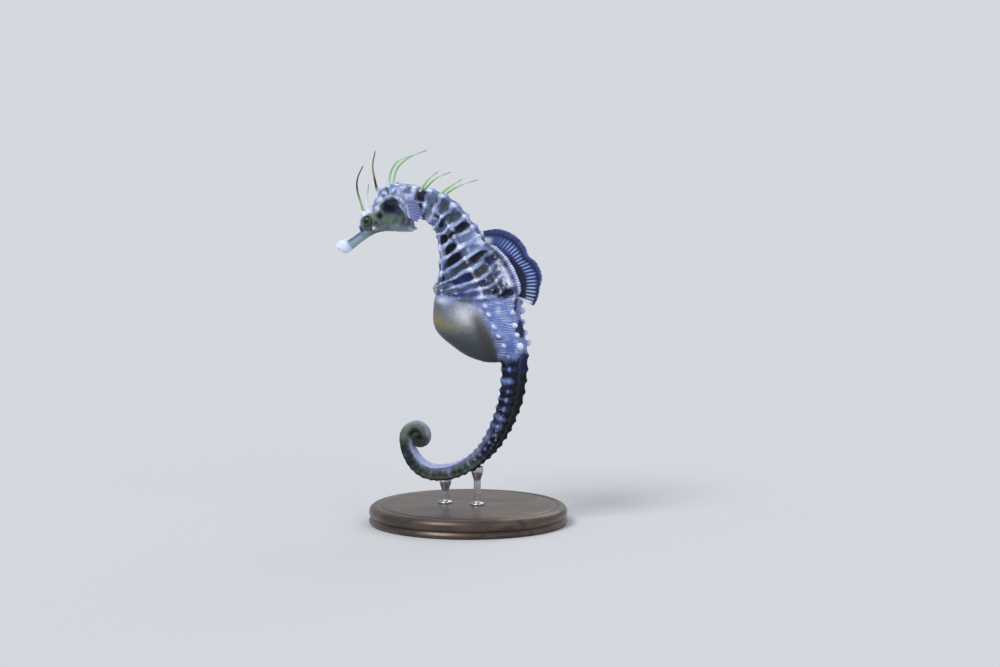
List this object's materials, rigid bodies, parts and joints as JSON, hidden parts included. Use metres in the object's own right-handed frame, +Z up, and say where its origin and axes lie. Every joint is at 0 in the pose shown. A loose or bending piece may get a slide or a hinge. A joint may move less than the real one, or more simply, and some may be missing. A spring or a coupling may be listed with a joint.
{
  "type": "seahorse model on display stand",
  "caption": "Still, life-size male big-belly seahorse with curled tail, brood pouch and skin filaments, held over a round base by short rods.",
  "frame": {"origin": "centre of the underside of the stand's round base", "axes": "+Z up, the animal's head faces -X and its left side is -Y; Y = 0 is the plane that the body bends in"},
  "size_m": [0.1006, 0.084, 0.1577],
  "materials": {
    "head_skin": "bony skin, pale blue-white on the crown and snout tip, olive grey on the cheeks",
    "gill_skin": "thin skin over the gill cover, olive with a dark blotch",
    "trunk_skin": "bony plates under skin, pale network over grey-olive fields and near-black blotches",
    "pouch_skin": "smooth, taut and slightly moist, grey-beige with a yellow front",
    "tail_skin": "ringed skin, near-black back, pale knobs and a pale violet inner side",
    "curl_skin": "smooth skin, pale outside and olive sides",
    "fin": "thin translucent membrane on bony rays, banded dark blue and pale",
    "fin_pale": "thin translucent pale membrane",
    "filament": "soft skin tendril, yellow-green to pale",
    "eye": "glossy eye, olive iris with dark spokes and black pupil",
    "stand_wood": "dark stained wood, satin varnish",
    "stand_steel": "brushed stainless rod"
  },
  "bodies": {
    "root": {"snout": "head_skin", "head": "head_skin", "coronet": "head_skin", "gill_cover_l": "gill_skin", "gill_cover_r": "gill_skin", "eye_l": "eye", "eye_r": "eye", "neck": "trunk_skin", "chest": "trunk_skin", "belly": "trunk_skin", "tail_root": "trunk_skin", "pouch": "pouch_skin", "tail_upper": "tail_skin", "tail_bend": "tail_skin", "tail_rise": "tail_skin", "tail_curl": "curl_skin", "dorsal_fin": "fin", "pectoral_fin_l": "fin", "pectoral_fin_r": "fin", "anal_fin": "fin_pale", "filament_eye_l": "filament", "filament_eye_r": "filament", "filament_coronet_front": "filament", "filament_coronet_l": "filament", "filament_coronet_r": "filament", "filament_nape_l": "filament", "filament_nape_r": "filament", "filament_neck_l": "filament", "filament_neck_r": "filament", "stand_base": "stand_wood", "stand_rod_front": "stand_steel", "stand_rod_rear": "stand_steel"}
  },
  "joints": []
}
